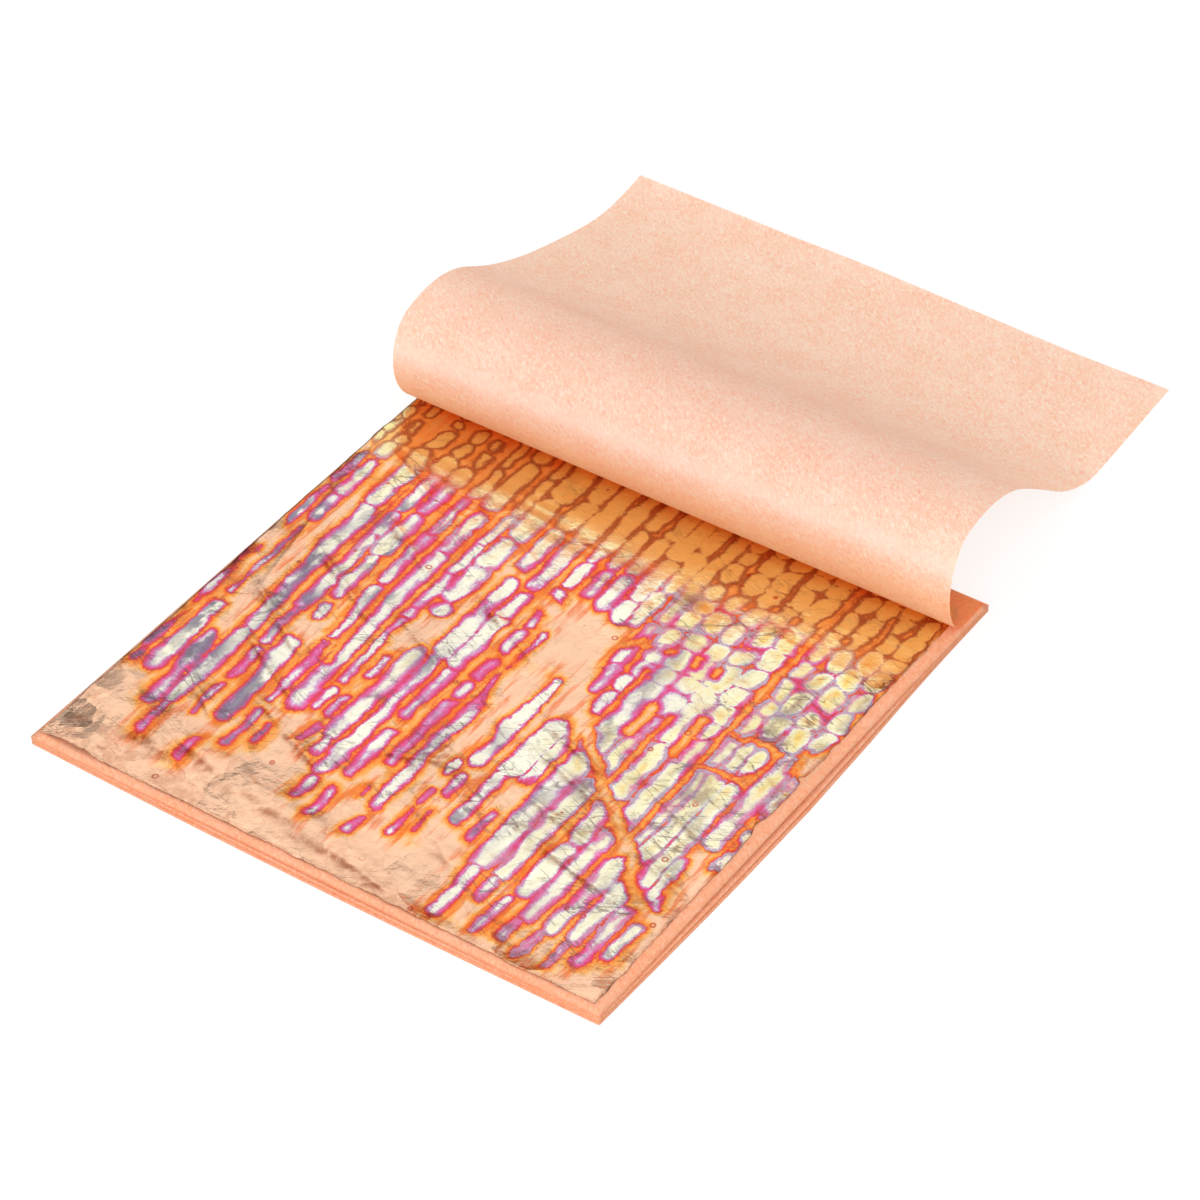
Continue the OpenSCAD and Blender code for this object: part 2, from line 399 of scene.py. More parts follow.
    # Crumple facets: relief, and painted shade on those that face the front
    drift = n.add("ShaderNodeTexNoise", {"Vector": at, "Scale": 170.0, "Detail": 3.0})
    bent = n.vector("MULTIPLY_ADD", drift.outputs["Color"], (0.006, 0.006, 0.0), at)[0]
    wide, wide_front = facets(n, bent, WIDE_FACET, 0.31)
    small, small_front = facets(n, bent, SMALL_FACET, 0.77)
    facing = n.steps(n.math("ADD", wide_front, n.times(small_front, 0.9)), 0.08, 0.42)
    matte_floor_and_leaf_shade = n.times(facing, n.times(n.steps(crinkle, 0.35, 1.2), 0.5))
    uneven = n.steps(n.noise(at, 420.0, 4.0, 0.65), 0.2, 0.62)
    matte_floor_and_leaf_shade = n.times(n.math("MAXIMUM", shade, matte_floor_and_leaf_shade), uneven)
    colour = n.mix(matte_floor_and_leaf_shade, colour, PAINTED_FOLD_SHADE, "MULTIPLY")
    height = n.times(n.math("ADD", n.times(wide, 0.34), n.times(small, 0.16)), crinkle)
    tiny = n.times(n.noise(at, 1300.0, 3.0, 0.6, 0.4), 0.00006)
    grooves = n.times(n.times(lines, crinkle), -0.00004)
    height = n.math("ADD", n.math("ADD", height, tiny), grooves)
    bump = n.add("ShaderNodeBump", {"Height": height, "Strength": 1.0, "Distance": 1.0})
    rough = n.math("ADD", n.times(fine, 0.14), 0.13)
    face = n.add(
        "ShaderNodeBsdfPrincipled",
        {"Base Color": colour, "Metallic": 1.0, "Roughness": rough, "Normal": bump.outputs[0]},
    )
    n.add("ShaderNodeOutputMaterial", {0: face.outputs[0]})
    return made


def heat_stop(depth, r, g, b):
    """A colour at a depth in millimetres inside a cool spot."""
    return ((depth + HEAT_DEPTH) / (2 * HEAT_DEPTH), srgb(r, g, b))


HEAT_STOPS = (
    heat_stop(-3.0, 252, 203, 168), heat_stop(-2.1, 253, 202, 160), heat_stop(-1.6, 253, 196, 138),
    heat_stop(-1.05, 254, 174, 92), heat_stop(-0.6, 253, 156, 72), heat_stop(-0.3, 242, 110, 54),
    heat_stop(-0.1, 220, 70, 62), heat_stop(0.1, 226, 72, 122), heat_stop(0.52, 228, 110, 168),
    heat_stop(0.9, 208, 172, 206), heat_stop(1.15, 238, 230, 222), heat_stop(1.8, 251, 247, 228),
    heat_stop(3.0, 252, 248, 226),
)
rolled_paper = tissue_material(
    "rolled_tissue", srgb(252, 227, 208), srgb(255, 250, 242), srgb(246, 194, 162), "paper", 0.56,
)
page_paper = tissue_material(
    "page_tissue", srgb(255, 182, 138), srgb(255, 206, 172), srgb(244, 146, 102), None, 0.3,
)
leaf_metal = leaf_material("heat_coloured_leaf", HEAT_STOPS)

glue_look = bpy.data.materials.new("padding_glue")
g = Nodes(glue_look)
glue_at = g.add("ShaderNodeTexCoord").outputs["Object"]
glue_drag = g.noise(g.stretched(glue_at, 0.0, (0.25, 1.0, 1.6)), 700.0, 4.0, 0.6)
glue_tint = g.mix(g.steps(glue_drag, 0.35, 0.7), srgb(226, 150, 116), srgb(240, 188, 160))
glue_bump = g.add("ShaderNodeBump", {"Height": glue_drag, "Strength": 0.5, "Distance": 0.0002})
glue_face = g.add(
    "ShaderNodeBsdfPrincipled",
    {
        "Base Color": glue_tint, "Roughness": 0.42, "Coat Weight": 0.2,
        "Normal": glue_bump.outputs[0],
    },
)
g.add("ShaderNodeOutputMaterial", {0: glue_face.outputs[0]})
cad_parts["binding_glue"].data.materials.clear()
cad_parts["binding_glue"].data.materials.append(glue_look)


def profile(side, step=0.1, blur=1.2, reach=60):
    """The rolled page's line at one place across it, from side -1 (left) to 1 (right), as the way
    from the bound edge, y and z. Its bends are softened over blur millimetres, with a bell that
    reaches this many steps."""
    count = int(round(ROLL_L / step))
    way = np.linspace(0, ROLL_L, count + 1)
    centre = (way[1:] + way[:-1]) / 2
    curve = np.zeros(count)
    at = 0.0
    for length, turn, left, right in STRETCHES:
        here = (centre >= at) & (centre < at + length)
        curve[here] = math.radians(turn + (right * side if side > 0 else -left * side)) / length
        at += length
    bell = np.exp(-0.5 * (np.arange(-reach, reach + 1) * step / blur) ** 2)
    curve = np.convolve(np.pad(curve, reach, mode="edge"), bell / bell.sum(), "valid")
    slope = np.concatenate([[0], np.cumsum(curve * step)])
    mid = (slope[1:] + slope[:-1]) / 2
    y = BOUND_Y - np.concatenate([[0], np.cumsum(np.cos(mid) * step)])
    z = STACK_H + TISSUE_T / 2 + np.concatenate([[0], np.cumsum(np.sin(mid) * step)])
    return way, y, z


# The rolled page: a grid of its middle surface, with rows along the way and columns across
ROLL_ROW, ROLL_COLUMNS = 0.7, 64
# Towards its free end the page drifts sideways, from a place along the way on
DRIFT, DRIFT_FROM = -4.0, 33.0
# Where along the way the page is cut into its visual pieces
CUTS = (0.0, 13.2, 23.3, 33.4, 43.5, 54.0, 77.0, ROLL_L)
ways = np.concatenate([
    np.linspace(a, b, max(3, int(round((b - a) / ROLL_ROW))) + 1)[(0 if a == 0 else 1):]
    for a, b in zip(CUTS[:-1], CUTS[1:])
])
across = np.linspace(-1, 1, ROLL_COLUMNS + 1)
middle = np.zeros((len(ways), len(across), 3))
for column, side in enumerate(across):
    way, y, z = profile(side)
    drift = DRIFT * np.clip((ways - DRIFT_FROM) / (ROLL_L - DRIFT_FROM), 0, 1)
    middle[:, column, 0] = side * PAGE_W / 2 - TOP_SHIFT + drift
    middle[:, column, 1] = np.interp(ways, way, y)
    middle[:, column, 2] = np.interp(ways, way, z)


def grid_normals(points):
    """Unit normals of a grid of points, pointing to the page's upper face as it lies flat."""
    down = np.gradient(points, axis=0)
    right = np.gradient(points, axis=1)
    n = np.cross(right, down)
    n /= np.linalg.norm(n, axis=2, keepdims=True)
    return -n if n[0, 0, 2] < 0 else n


normal = grid_normals(middle)
way_grid = np.broadcast_to(ways[:, None], middle.shape[:2])
roll_x = middle[..., 0]
wave = 0.45 * noise2(roll_x, way_grid, 34.0, 5) + 0.15 * noise2(roll_x, way_grid, 11.0, 6)
middle += normal * (wave * smooth(30, 100, ways)[:, None])[..., None]
# The end of the page that lies on the table keeps this far above it
FLOOR_GAP = 0.06
tail = smooth(85, 120, ways)[:, None]
lowest = FLOOR_GAP + 0.35 * (1 - tail)
middle[..., 2] = np.where(tail > 0, np.maximum(middle[..., 2], lowest), middle[..., 2])
normal = grid_normals(middle)
paper = np.zeros_like(middle)
paper[..., 0] = across[None, :] * PAGE_W / 2 * MM
paper[..., 1] = ways[:, None] * MM
FOLDS = tuple(f"fold_{k}" for k in range(1, 6))
ZONES = tuple(f"tissue_01_{part}" for part in ("root", *FOLDS, "slope", "free_end"))
for k in range(len(CUTS) - 1):
    rows = np.flatnonzero((ways >= CUTS[k] - 1e-6) & (ways <= CUTS[k + 1] + 1e-6))
    part, face = middle[rows], normal[rows]
    piece = shell(
        f"Rolled_tissue_{k + 1}", part - face * TISSUE_T / 2, part + face * TISSUE_T / 2,
        rolled_paper, {"paper": paper[rows]}, face,
    )
    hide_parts(*((ZONES[0], ZONES[1]) if k == 0 else (ZONES[k + 1],)))
    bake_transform(piece)


# The flat pages and leaves under the top leaf
def spaced(half, near=(0, 0.7, 1.6, 3, 5, 8, 12, 18, 26, 36, 48)):
    """Places from -half to half, close together near both ends."""
    edge = np.array(near, float)
    return np.unique(np.concatenate([edge - half, half - edge, [0.0]]))


# The stack stands in bundles of pages: the lowest level of each, and how far it reaches out
# at the right
BUNDLES = ((0, 1.5), (5, 0.7), (11, 1.1), (16, -0.15), (21, 0.15))
rng = np.random.default_rng(11)
LEVELS = LEAF_COUNT + 1
# The share of the edges' whole opening that lies under each level, most of it between the bundles
open_share = 0.12 * rng.uniform(0.2, 1.0, LEVELS) ** 2.2
open_share[[lowest for lowest, _ in BUNDLES[1:]]] = 1.0
open_share /= open_share.sum()
open_phase = rng.uniform(0, 2 * math.pi, LEVELS)
open_turns = rng.uniform(1.0, 3.0, LEVELS)
page_jitter = rng.uniform(-0.12, 0.12, (LEVELS, 2))
# How far the edges of the whole stack stand open
FRONT_OPEN, RIGHT_OPEN, LEFT_OPEN = 0.9, 1.1, 0.2


def edge_open(x, y):
    """How far the whole stack's edges stand open at a place, in millimetres."""
    front = np.exp(-(y + BOUND_Y) / 9.0) * (0.25 + 0.75 * smooth(-60, 10, x))
    right = np.exp((x - PAGE_W / 2) / 9.0) * smooth(70, 20, y) * (0.35 + 0.65 * smooth(-72, -30, y))
    left = np.exp(-(x + PAGE_W / 2) / 8.0) * smooth(60, 0, y)
    return FRONT_OPEN * front + RIGHT_OPEN * right + LEFT_OPEN * left


def lift(x, y, level):
    """Height that the open edges add under the page of a level, counted from 0 at the table."""
    along = (x - y) / 143.0
    total = 0.0
    for k in range(level + 1):
        ripple = 0.5 + 0.5 * np.sin(open_phase[k] + along * math.pi * open_turns[k])
        total = total + open_share[k] * (0.4 + 0.9 * ripple)
    return total * edge_open(x, y)


def fan(x, y, level):
    """Sideways shift of a page's points: lower bundles reach out further at the right and front."""
    out = [reach for lowest, reach in BUNDLES if lowest <= level][-1]
    right = smooth(-10, PAGE_W / 2, x) * out * np.cos(y / PAGE_L * math.pi)
    front = smooth(10, -PAGE_L / 2, y) * 0.5 * out * np.cos(x / PAGE_W * math.pi)
    free = smooth(BOUND_Y, 0, y)
    return right * free + page_jitter[level, 0] * free, -front + page_jitter[level, 1] * free


def flat_sheet(name, xs, ys, level, base, thick, material, extra=None, marks=None, torn=None):
    """A page or leaf of the stack. extra is added to its height, and torn is its points' shift
    in x and y."""
    x, y = np.meshgrid(xs, ys)
    dx, dy = fan(x, y, level)
    z = base + lift(x, y, level)
    if torn is not None:
        dx, dy = dx + torn[0], dy + torn[1]
    if extra is not None:
        z = z + extra
    under = np.stack([x + dx, y + dy, z], -1)
    over = under + np.array([0, 0, thick])
    return shell(name, under, over, material, marks)


# The page under the exposed leaf has an even grid with this many points a side
FINE_POINTS = 73
for level in range(LEAF_COUNT):
    number = LEVELS - level
    xs, ys = spaced(PAGE_W / 2), spaced(PAGE_L / 2)
    if number == 2:
        xs = np.linspace(-PAGE_W / 2, PAGE_W / 2, FINE_POINTS)
        ys = np.linspace(-PAGE_L / 2, PAGE_L / 2, FINE_POINTS)
    page = flat_sheet(f"Page_{number:02d}", xs, ys, level, level * PITCH, TISSUE_T, page_paper)
    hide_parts(f"tissue_{number:02d}")
    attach(page, "booklet")

# The pattern of the leaf: columns of cool spots that run from back to front, channels between them
# Each spot: x at its back end, y there, x at its front end, y there, half its width
SPOTS = [
    (-70.5, 2, -70.2, -40, 1.0),
    (-65.4, 12, -65.6, -13, 0.55), (-65.3, -19, -64.8, -40, 2.0),
    (-57.4, 25, -55.0, -20, 2.1), (-55.0, -20, -54.5, -46, 1.8), (-54.5, -48, -54.0, -58, 0.9),
    (-60.2, -27, -58.0, -50, 1.5),
    (-51.2, 20, -50.0, -9, 1.9), (-49.9, -11, -49.6, -21, 0.9), (-49.0, -25, -48.6, -34, 1.0),
    (-48.8, -37, -48.2, -47, 0.7),
    (-46.0, 12, -45.2, -2, 1.3), (-45.4, -6.5, -45.0, -9.5, 1.4), (-44.4, -20, -42.6, -44, 2.0),
    (-42.4, -54, -42.4, -60, 0.6),
    (-40.0, 4, -39.0, -12, 1.6), (-38.6, -15, -37.4, -36, 0.8), (-37.0, -40, -36.8, -52, 0.9),
    (-34.8, 20, -32.6, -33, 2.2), (-32.9, -42, -32.8, -48, 0.8),
    (-29.2, -1, -29.2, -22, 1.1), (-28.4, -27, -28.4, -31, 0.9),
    (-25.0, -11, -24.9, -17, 0.8), (-25.0, -27, -24.9, -32, 0.8), (-24.6, -36, -24.5, -41, 0.5),
    (-20.3, -9, -20.4, -36, 1.9), (-20.4, -38, -20.4, -42, 0.7),
    (-16.8, 22, -15.8, -4, 2.3), (-15.8, -8, -15.4, -45, 1.5), (-15.4, -49, -15.4, -55, 0.8),
    (-11.8, 10, -11.6, -5, 2.1), (-11.0, -9, -11.0, -24, 1.3), (-10.7, -30, -10.5, -43, 1.4),
    (-10.0, -49, -9.8, -58, 1.1),
    (-5.8, 17, -5.8, 12, 0.8), (-5.8, 9, -5.6, 3, 0.9), (-5.4, -1, -5.4, -6, 1.0),
    (-5.2, -10, -5.2, -12, 1.0),
    (-5.4, -16, -5.2, -36, 1.4), (-4.6, -45, -4.6, -47, 0.5),
    (-1.5, 11, -1.5, -1, 0.55), (-0.8, -5, -0.6, -48, 1.6), (-0.5, -52, -0.4, -58, 0.9),
    (9.0, 1, 9.6, -14, 1.3), (9.6, -14, 9.8, -26, 2.1), (6.4, -30, 6.4, -33, 0.8),
    (10.0, -32, 10.0, -39, 1.1),
    (6.8, -39, 6.8, -43, 0.8), (6.8, -45, 6.6, -53, 0.5), (10.3, -44, 10.4, -51, 0.45),
    (17.4, -11, 16.6, -24, 2.6), (16.0, -24, 15.8, -44, 1.3), (20.6, -14, 20.8, -26, 1.2),
    (20.9, -38, 21.0, -45, 0.5),
    (27.0, 12, 27.0, -10, 2.6), (27.0, -15, 27.4, -50, 2.3), (27.4, -52, 27.5, -66, 1.4),
    (32.8, 2, 32.8, -14, 1.5), (32.5, -20, 32.5, -50, 1.7), (32.5, -52, 32.6, -58, 0.9),
    (37.8, 10, 37.8, 1, 2.2), (38.5, -4, 38.6, -18, 2.0), (39.0, -25, 39.4, -34, 2.0),
    (39.5, -39, 39.4, -52, 2.0), (37.6, -56, 37.1, -66, 0.8),
    (45.0, 2, 45.0, -24, 1.9), (44.0, -30, 44.0, -58, 1.7), (43.4, -60, 43.2, -64, 0.8),
    (50.3, 8, 50.3, 0, 1.1), (53.4, 7, 53.4, -1, 1.2), (57.0, 7, 57.0, 1, 1.1),
    (50.0, -5, 50.0, -28, 1.1), (53.5, -5, 53.5, -31, 2.1), (57.2, -6, 57.8, -35, 1.8),
    (60.5, -29, 60.5, -38, 1.1),
    (50.0, -36, 50.0, -58, 1.9), (48.4, -60, 48.0, -66, 0.9), (55.2, -41, 55.0, -57, 1.9),
    (54.6, -59, 54.5, -66, 1.0),
    (59.6, -46, 59.2, -62, 1.7), (63.8, -49, 63.4, -58, 1.5),
    (63.0, 8, 63.0, -20, 1.7), (68.0, 3, 68.2, -6, 1.9), (68.8, -14, 68.8, -26, 1.3),
    (63.8, -38, 63.8, -41, 0.9),
]
# Towards the back the columns are beaded: x, y where the beads end, half their width
BEADED = (
    (-70.3, 13, 1.6), (-65.5, 17, 1.6), (-57.8, 25, 2.2), (-51.4, 20, 2.2), (-46.3, 15, 2.1),
    (-40.7, 9, 1.6), (-35.2, 22, 2.2), (-29.3, 2, 1.2), (-24.3, 7, 2.4), (-17.6, 24, 2.2),
    (-12.0, 12, 2.0), (-6.2, 22, 1.5), (-1.5, 26, 1.5), (3.4, 26, 1.9), (8.3, 25, 2.1),
    (12.6, 26, 1.7), (16.6, 5, 1.5), (21.2, -2, 1.9), (27.0, 14, 2.4), (32.6, 8, 2.2),
    (37.8, 12, 2.3), (43.3, 6, 2.2), (50.6, 12, 1.9), (55.0, 12, 2.1), (60.4, 12, 2.2),
    (66.2, 12, 2.2),
)
beads = np.random.default_rng(41)
for bead_x, bead_end, bead_half in BEADED:
    bead_y = LEAF_L / 2 - beads.uniform(3, 7)
    while bead_y > bead_end:
        short = bead_x > 18 or (bead_x < -44 and bead_y > 40)
        long = beads.uniform(1.0, 3.4) if short else beads.uniform(6, 15)
        lean_x = bead_x + beads.uniform(-0.4, 0.4)
        end_x, end_y = lean_x + beads.uniform(-0.3, 0.3), max(bead_y - long, bead_end)
        SPOTS.append((lean_x, bead_y, end_x, end_y, bead_half * beads.uniform(0.92, 1.12)))
        bead_y -= long + 2 * (bead_half - beads.uniform(-0.5, 0.5))
# Channels that cut through the spots: half their width, then their points
CHANNELS = (
    (1.55, (
        (8, 6), (18, 0), (22, -7), (32, -14.5), (38, -21.5), (46, -27), (51, -32), (55, -37),
        (62, -42.5), (65, -45),
    )),
    (2.0, ((18, -3), (23, -8))), (0.9, ((47.5, 62), (47.3, 20), (47.8, -26))),
    (0.7, ((48, 8), (51.5, 8.5), (53, 11))), (0.8, ((48, -2.5), (55, -2.8), (60, 0), (60.3, 9))),
    (0.7, ((23, 15), (23.2, -5))), (0.8, ((35, 6), (34.8, -1), (35.5, -17))),
    (1.5, ((30.4, 6), (30.4, -3))), (1.4, ((41.4, 8), (41.4, -3))),
    (0.4, ((41.4, -3), (41.6, -14))), (0.6, ((35.7, -21), (35.7, -63))),
    (1.1, ((-2, 19), (13, 18), (17, 23), (19, 22))), (1.0, ((23.6, 22), (24.4, 23))),
    (1.0, ((30, 24), (30.6, 22))), (0.9, ((35.2, 23), (35.6, 21))), (2.6, ((-7, 20), (7, 18.5))),
    (1.0, ((29.8, 43.4), (29.9, 44.8))), (1.0, ((35.2, 45.0), (35.2, 46.4))),
    (1.1, ((40.6, 43.8), (40.7, 45.2))), (1.1, ((46.2, 46.0), (46.4, 47.6))),
    (1.0, ((52.6, 44.4), (52.7, 45.6))), (0.9, ((57, 44), (58, 48), (58, 57))),
    (0.5, ((24.1, 60), (24.1, 46))), (0.5, ((35.3, 60), (35.2, 50))),
    (2.2, ((-61.4, 24), (-61.6, -22))), (1.2, ((-8.3, 20), (-8.0, -44))),
    (0.8, ((-43, 60), (-42.6, 5), (-40, -12), (-39.5, -34))),
    (0.8, ((-38, 40), (-37.6, 5), (-35, -20))), (0.8, ((-31.6, 58), (-31.4, 0), (-30.4, -26))),
    (1.3, ((13, -8), (12.8, -55))), (0.9, ((-3.3, 22), (-3.2, -44))),
    (0.8, ((-53.6, 40), (-52.6, 0), (-51.6, -40))), (0.8, ((64.7, 13), (64.7, 6))),
    (0.5, ((65.5, -9), (66, -30))),
)
# Bare patches: middle, half sizes
BARE = (
    (3.2, -1.0, 5.0, 14.0), (-25.5, -5.0, 3.2, 4.0), (20.8, -32.0, 2.2, 5.0), (66.5, -34, 3.5, 7),
)
# Spots are this much wider than written, and more in some places
SPOT_GROWTH = 0.22
# Where two spots touch, a warm seam stays between them
SEAM, SEAM_WIDE = 1.3, 0.3


def to_segment(x, y, x0, y0, x1, y1):
    """Distance of a point from a line between two points."""
    dx, dy = x1 - x0, y1 - y0
    t = np.clip(((x - x0) * dx + (y - y0) * dy) / (dx * dx + dy * dy), 0, 1)
    return np.hypot(x - x0 - t * dx, y - y0 - t * dy)


def heat_field(x, y):
    """How far a point is inside a cool spot, in millimetres, with its yellow and grey."""
    u = x + 0.4 * noise2(x, y, 5.5, 21) + 0.22 * noise2(x, y, 2.2, 22)
    v = y + 1.2 * noise2(x, y, 6.0, 23) + 0.6 * noise2(x, y, 2.5, 24)
    right = (0.3 + 0.45 * smooth(-24, -10, y)) * smooth(12, 28, x)
    right = right * smooth(-56, -46, y) * smooth(46, 39, y)
    back = 0.25 * smooth(38, 46, y) * smooth(-40, -25, x)
    growth = SPOT_GROWTH + 0.4 * noise2(x, y, 14.0, 28) + right + back
    inside, second = np.full(x.shape, -9.0), np.full(x.shape, -9.0)
    for x0, y0, x1, y1, half in SPOTS:
        depth = half + growth - to_segment(u, v, x0, y0, x1, y1)
        second = np.maximum(second, np.minimum(inside, depth))
        inside = np.maximum(inside, depth)
    seam = SEAM * (1 - 0.4 * smooth(32, 44, y) - 0.5 * smooth(30, 38, y) * smooth(22, 14, x))
    inside -= seam * smooth(0.0, 0.8, inside) * np.exp(-(inside - second) / SEAM_WIDE)
    inside += 0.45 * noise2(x, y * 0.8, 4.2, 27)
    for half, points in CHANNELS:
        for (x0, y0), (x1, y1) in zip(points[:-1], points[1:]):
            inside = np.minimum(inside, to_segment(u, v, x0, y0, x1, y1) - half)
    for cx, cy, rx, ry in BARE:
        inside = np.minimum(inside, (np.hypot((u - cx) / rx, (v - cy) / ry) - 1) * min(rx, ry))
    thinned = 1.1 * smooth(40, 50, y) * smooth(-36, -48, x) * smooth(-70, -64, x)
    inside -= thinned * (1 + noise2(x, y, 5.0, 29))
    rim = smooth(67.5, 69.5, abs(x - LEAF_SHIFT)) * (0.6 + noise2(x, y, 4.0, 38))
    inside -= 1.6 * rim
    yellow = 0.55 * noise2(x, y, 9.0, 25) + 0.8 * smooth(-5, 55, x)
    yellow = yellow + 0.3 * smooth(-10, 50, y) - 0.25
    yellow = smooth(-0.2, 0.9, yellow) * (0.4 + 0.6 * smooth(-40, 0, y))
    grey = 0.7 * noise2(x, y * 0.6, 7.0, 26) + 0.5 * smooth(-10, -60, x)
    grey = smooth(0.0, 0.9, grey + 0.15 * smooth(20, -50, y) - 0.05)
    return np.stack([inside, 0.8 * yellow, 0.85 * grey], -1)


def crease(x, y, x0, y0, x1, y1, height, wide):
    """A sharp fold that fades at its two ends."""
    dx, dy = x1 - x0, y1 - y0
    long = math.hypot(dx, dy)
    t = ((x - x0) * dx + (y - y0) * dy) / long ** 2
    off = abs((x - x0) * dy - (y - y0) * dx) / long
    return height * np.exp(-off / wide) * smooth(-0.1, 0.25, t) * smooth(1.1, 0.75, t)


def crinkle_field(x, y):
    """How crumpled the leaf is at a place, from 0 to about 1.6."""
    front = smooth(-50, -66, y)
    corner = smooth(-30, -66, y) * smooth(-10, -60, x)
    calm = smooth(38, 46, y)
    rim = smooth(66, 70, np.maximum(abs(x - LEAF_SHIFT), -y))
    out = 0.42 + 0.22 * noise2(x, y, 18.0, 35) + 0.35 * front + 0.6 * corner + 0.5 * rim
    return out * (1 - 0.6 * calm)


# Sharp folds of the leaf: one end, other end, height
SHARP_FOLDS = (
    (13, -9, 36, -17, 0.8), (17, -17, 42, -25, 0.75), (22, -29, 46, -35, 0.7),
    (14, -30, 34, -41, 0.6), (28, -38, 58, -45, 0.6), (40, -13, 64, -22, 0.6),
    (44, 9, 68, -2, 0.5), (-22, 15, 4, 3, 0.6), (-36, 3, -12, -9, 0.75), (-52, 25, -28, 11, 0.75),
    (-60, 9, -34, -5, 0.85), (-64, -7, -42, -21, 0.95), (-56, -21, -30, -35, 0.85),
    (-42, -36, -16, -47, 0.7), (-62, -35, -44, -47, 0.95), (-68, 32, -60, -12, 0.8),
    (0, -28, 24, -41, 0.6), (48, -29, 69, -37, 0.6), (-66, 44, -46, 34, 0.5),
    (-10, -36, 6, -30, 0.5),
)
FOLD_WIDE = 1.2
# Softer folds: one end, other end, height, half width
SOFT_FOLDS = (
    (-57, 38, -38, -24, 0.5, 1.6), (-62, -36, -66, -70, 0.45, 1.8),
    (-66, 30, -50, -12, 0.35, 1.2), (-50, 6, -34, -44, 0.4, 1.4), (-74, -52, 14, -64, 1.5, 2.6),
    (-50, -54, -68, -74, 1.2, 2.2), (-74, -42, -42, -62, 1.1, 2.0),
    (-66, -46, -58, -74, 1.1, 1.8), (-42, -56, 24, -69, 0.9, 1.8), (-34, -50, -20, -72, 0.8, 1.6),
    (-62, -28, -46, -62, 0.9, 1.8), (-30, 30, -4, 2, 0.4, 1.4), (2, -40, 42, -68, 0.6, 1.6),
    (20, 24, 58, -4, 0.4, 1.2),
)
# Above the knee the folds level off, so that the unrolled page clears them
RELIEF_KNEE, RELIEF_SPARE = 0.9, 0.35


def leaf_relief(x, y):
    """The top leaf's crinkles over the page, in millimetres."""
    rough = 0.35 + 0.9 * smooth(-20, -66, y) * smooth(30, -50, x) + 0.4 * smooth(-50, -68, y)
    wide = 0.16 * (1 - abs(noise2(x + 0.5 * y, y, 13.0, 31)) * 2)
    narrow = 0.10 * (1 - abs(noise2(x, y - 0.4 * x, 6.0, 32)) * 2)
    out = rough * (wide + narrow)
    out += 0.03 * (1 - 2 * abs(noise2(x, y, 2.6, 33)))
    out += 0.11 * (1 - 2 * abs(noise2(0.3 * x + 0.15 * y, y + 0.1 * x, 3.4, 39)))
    folds = np.random.default_rng(34)
    for _ in range(60):
        cx, cy = folds.uniform(-70, 70, 2)
        turn = folds.normal(-0.9, 0.7)
        reach = folds.uniform(4, 16)
        dx, dy = reach * math.cos(turn), reach * math.sin(turn)
        height, wide = folds.uniform(0.03, 0.12), folds.uniform(0.5, 1.4)
        out += crease(x, y, cx - dx, cy - dy, cx + dx, cy + dy, height, wide)
    for fold in SOFT_FOLDS:
        out += crease(x, y, *fold)
    for x0, y0, x1, y1, height in SHARP_FOLDS:
        out += crease(x, y, x0, y0, x1, y1, height, FOLD_WIDE)
    out = 0.8 * (out - out.min())
    over = np.maximum(out - RELIEF_KNEE, 0)
    return np.minimum(out, RELIEF_KNEE) + RELIEF_SPARE * (1 - np.exp(-over / RELIEF_SPARE))


def fold_shade(relief, step):
    """Where the relief faces the front and left: there shade is painted on the metal, from 0 to 1.
    """
    along_y, along_x = np.gradient(relief, step)
    return smooth(0.035, 0.27, 0.9 * along_y - 0.35 * along_x)


def rim_shade(x, y):
    """Painted shade: a dark rim along the leaf's left edge, a thin dark line along the right one,
    and a fainter one along the front.
    """
    left = smooth(2.2, 0.3, x + LEAF_W / 2) * smooth(-0.5, 0.4, noise2(x, y, 3.5, 43))
    left = left * smooth(-62, -40, y)
    right = smooth(0.9, 0.2, LEAF_W / 2 - x) * (0.6 + 0.4 * noise2(x, y, 2.0, 44))
    front = 0.6 * smooth(0.8, 0.2, y + LEAF_L / 2)
    return np.maximum(np.maximum(left, right), front)


def torn_edges(x, y):
    """Shift of the top leaf's points that makes its cut edges uneven, with two small tears
    at the right."""
    inward = 0.25 * (1 + noise2(x, y, 3.0, 36)) + 0.12 * noise2(x, y, 0.9, 37)
    tears = 1.5 * np.exp(-((y - 5) / 0.7) ** 2) + 1.1 * np.exp(-((y + 11) / 2.2) ** 2)
    dx = -(inward + tears) * smooth(LEAF_W / 2 - 3, LEAF_W / 2, x)
    dx += 0.5 * inward * smooth(3 - LEAF_W / 2, -LEAF_W / 2, x)
    dy = inward * smooth(3 - LEAF_L / 2, -LEAF_L / 2, y)
    return dx - LEAF_SKEW * y / LEAF_L, dy


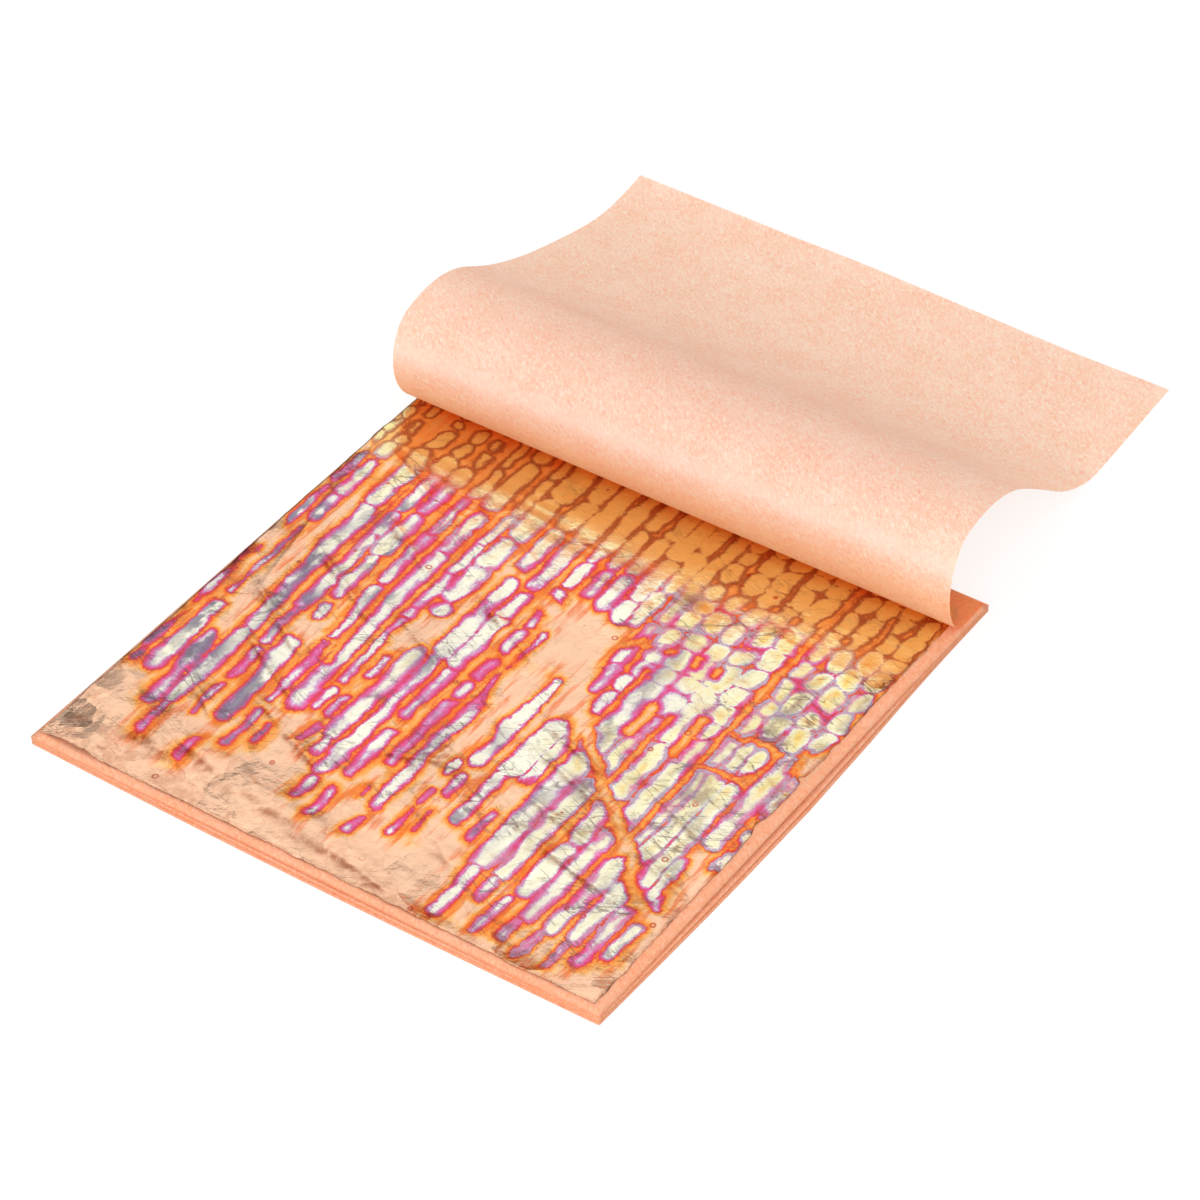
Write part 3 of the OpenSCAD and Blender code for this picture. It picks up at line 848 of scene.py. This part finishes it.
# The exposed leaf: the step of its grid, and how far its lowest points reach under the stack's top
LEAF_STEP, LEAF_SINK = 0.5, 0.005
count = int(round(LEAF_W / LEAF_STEP)) + 1
xs, ys = np.linspace(-LEAF_W / 2, LEAF_W / 2, count), np.linspace(-LEAF_L / 2, LEAF_L / 2, count)
xs += LEAF_SHIFT
gx, gy = np.meshgrid(xs, ys)
relief = leaf_relief(gx, gy) * smooth(62, 54, gy)
top_marks = {
    "heat_mark": heat_field(gx, gy), "crinkle": crinkle_field(gx, gy),
    "fold_shade": np.maximum(fold_shade(relief, LEAF_STEP), rim_shade(gx - LEAF_SHIFT, gy)),
}
leaf = flat_sheet(
    "Leaf_01", xs, ys, LEVELS - 2, STACK_H - LEAF_T - LEAF_SINK, LEAF_T, leaf_metal,
    extra=relief, marks=top_marks, torn=torn_edges(gx - LEAF_SHIFT, gy),
)
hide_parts("leaf_01")
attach(leaf, "leaf_01")

for level in range(LEAF_COUNT - 1):
    number = LEAF_COUNT - level
    xs, ys = spaced(LEAF_W / 2), spaced(LEAF_L / 2)
    gx, gy = np.meshgrid(xs, ys)
    under_leaf = flat_sheet(
        f"Leaf_{number:02d}", xs, ys, level, level * PITCH + TISSUE_T, LEAF_T, leaf_metal,
        marks={"heat_mark": heat_field(gx, gy), "crinkle": crinkle_field(gx, gy)},
    )
    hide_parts(f"leaf_{number:02d}")
    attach(under_leaf, "booklet")

# Floor, world and lamps
FLOOR_HALF, FLOOR_DROP = 6.0, 0.00002
# The share of the floor that the camera and mirrors see as plain white, over its shadows
FLOOR_WHITE = 0.72
corners = ((-1, -1), (1, -1), (1, 1), (-1, 1))
floor_mesh = bpy.data.meshes.new("Floor")
floor_points = [(FLOOR_HALF * x, FLOOR_HALF * y, 0) for x, y in corners]
floor_mesh.from_pydata(floor_points, [], [(0, 1, 2, 3)])
floor = bpy.data.objects.new("Floor", floor_mesh)
floor.location = (0, 0, -FLOOR_DROP)
bpy.context.scene.collection.objects.link(floor)
floor_look = bpy.data.materials.new("floor")
f = Nodes(floor_look)
path = f.add("ShaderNodeLightPath").outputs
mirrored = f.math("MAXIMUM", path["Is Glossy Ray"], path["Is Transmission Ray"])
seen = f.math("MAXIMUM", path["Is Camera Ray"], mirrored)
matte_floor_and_leaf_shade = f.add("ShaderNodeBsdfDiffuse", {"Color": srgb(240, 240, 240)})
plain = f.add("ShaderNodeEmission", {"Color": (1, 1, 1, 1), "Strength": 1.06})
white = f.times(seen, FLOOR_WHITE)
whole = f.add("ShaderNodeMixShader", {0: white, 1: matte_floor_and_leaf_shade.outputs[0], 2: plain.outputs[0]})
f.add("ShaderNodeOutputMaterial", {0: whole.outputs[0]})
floor_mesh.materials.append(floor_look)

# The sky's strength at the horizon, how much it rises above it and once more near the top,
# and how much its soft patches differ
SKY_LOW, SKY_RISE, SKY_TOP, SKY_PATCHES = 0.38, 0.69, 0.22, 0.35
world = bpy.data.worlds.new("World")
bpy.context.scene.world = world
w = Nodes(world)
toward = w.add("ShaderNodeTexCoord").outputs["Generated"]
height = w.split(toward)[2]
light = w.math("ADD", w.times(w.steps(height, 0.1, 0.64), SKY_RISE), SKY_LOW)
light = w.math("ADD", light, w.times(w.steps(height, 0.72, 1.0), SKY_TOP))
patches = w.math("SUBTRACT", w.noise(toward, 2.6, 1.0), 0.5)
light = w.math("ADD", light, w.times(patches, SKY_PATCHES))
path = w.add("ShaderNodeLightPath").outputs
light = w.pick(path["Is Glossy Ray"], w.times(light, 0.95), light)
strength = w.pick(path["Is Camera Ray"], light, 1.0)
sky = w.add("ShaderNodeBackground", {"Color": (1, 1, 1, 1), "Strength": strength})
w.add("ShaderNodeOutputWorld", {0: sky.outputs[0]})


def lamp(name, at, aim, size, power):
    """A round soft lamp that doesn't show in reflections."""
    data = bpy.data.lights.new(name, "AREA")
    data.shape, data.size, data.energy = "DISK", size, power
    made = bpy.data.objects.new(name, data)
    made.location = at
    made.visible_glossy = False
    made.rotation_euler = (Vector(aim) - Vector(at)).to_track_quat("-Z", "Y").to_euler()
    bpy.context.scene.collection.objects.link(made)


lamp("Key", (0.55, -1.08, 0.75), (0, 0.02, 0), 0.9, 8.5)
lamp("Fill", (0.5, -1.2, 0.14), (0, 0.05, 0.01), 0.7, 5.4)
bpy.context.scene.view_settings.view_transform = "Standard"
